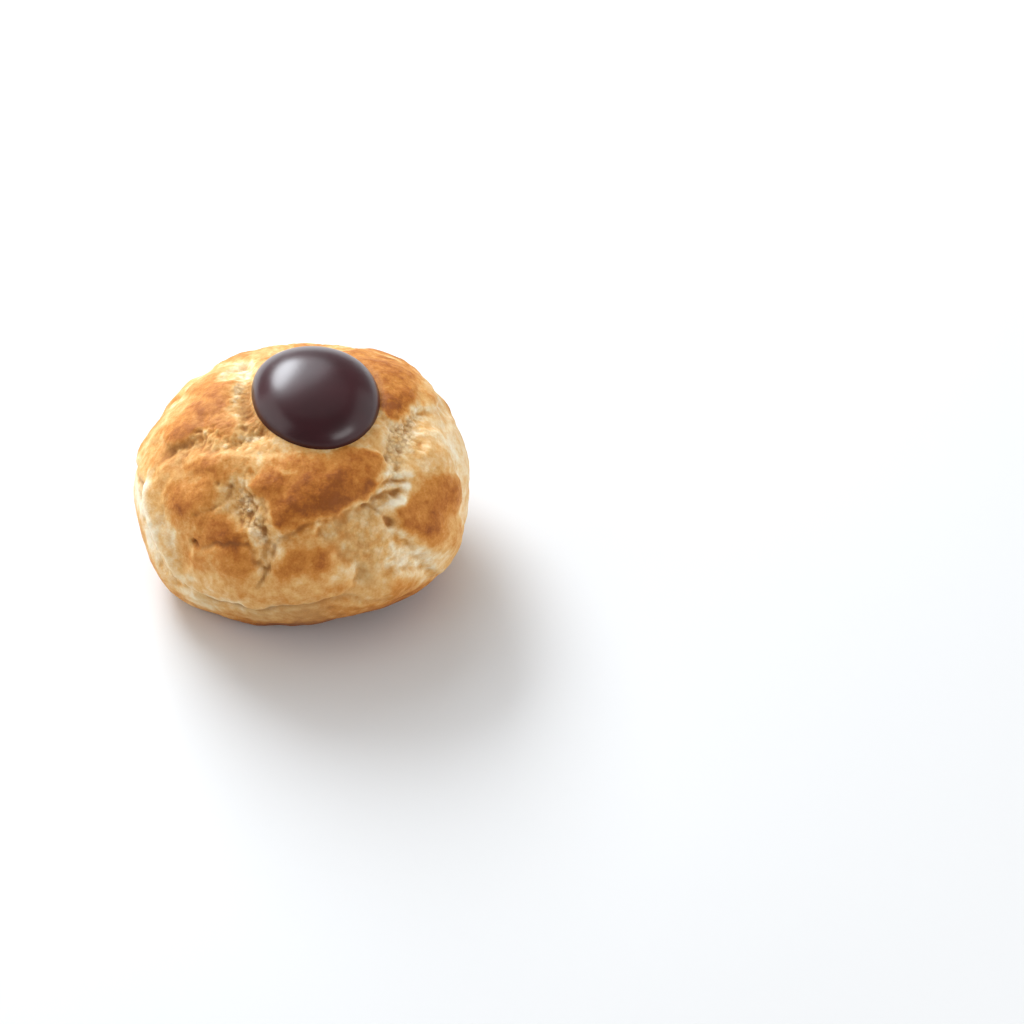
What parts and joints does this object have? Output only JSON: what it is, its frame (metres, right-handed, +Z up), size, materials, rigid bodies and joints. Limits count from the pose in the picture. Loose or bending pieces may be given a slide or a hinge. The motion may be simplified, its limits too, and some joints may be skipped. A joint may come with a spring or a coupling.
{
  "type": "choux bun",
  "caption": "Round golden choux bun with a cracked, unevenly browned crust, a flat foot and an oval spot of glossy chocolate glaze on its crown; a filled pastry for one.",
  "frame": {"origin": "centre of the flat foot, straight below the middle of the bun", "axes": "+Z up, +X along the bun's greatest width, -Y towards the side that shows in the picture"},
  "size_m": [0.0615, 0.0604, 0.0445],
  "materials": {
    "baked_crust": "matte, unevenly browned choux crust, pale where torn",
    "chocolate": "glossy dark chocolate glaze"
  },
  "bodies": {
    "root": {"bun": "baked_crust", "chocolate_glaze": "chocolate"}
  },
  "joints": []
}
